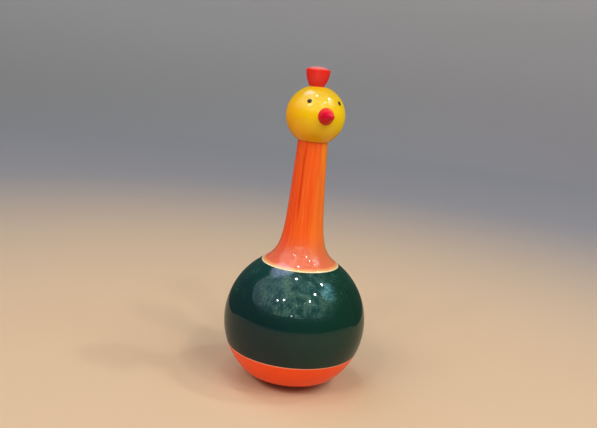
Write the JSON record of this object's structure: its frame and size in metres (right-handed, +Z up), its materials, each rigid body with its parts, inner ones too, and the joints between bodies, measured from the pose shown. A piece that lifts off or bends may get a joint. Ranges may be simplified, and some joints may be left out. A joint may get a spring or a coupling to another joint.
{
  "type": "balancing duck toy",
  "caption": "Turned-wood roly-poly duck: weighted ball body, long flared neck, ball head with comb, beak and peg eyes; it rocks and stands up again.",
  "frame": {"origin": "centre of the small flat foot under the ball, on the surface that the duck stands on", "axes": "+Z up along the turning axis, -Y the way the beak points, +X towards the duck's left"},
  "size_m": [0.0784, 0.0784, 0.1744],
  "materials": {
    "green_lac": "gloss",
    "orange_lac": "gloss",
    "streaked_orange_lac": "gloss",
    "yellow_lac": "gloss",
    "red_lac": "gloss",
    "crimson_lac": "gloss",
    "black_lac": "gloss",
    "cast_iron": "matte",
    "plated_steel": "satin"
  },
  "bodies": {
    "root": {"upper_body": "green_lac", "lower_bowl": "orange_lac", "neck": "streaked_orange_lac", "head": "yellow_lac", "comb": "red_lac", "beak": "crimson_lac", "right_eye": "black_lac", "left_eye": "black_lac", "ballast_weight": "cast_iron", "ballast_washer": "plated_steel", "ballast_screw": "plated_steel"}
  },
  "joints": []
}
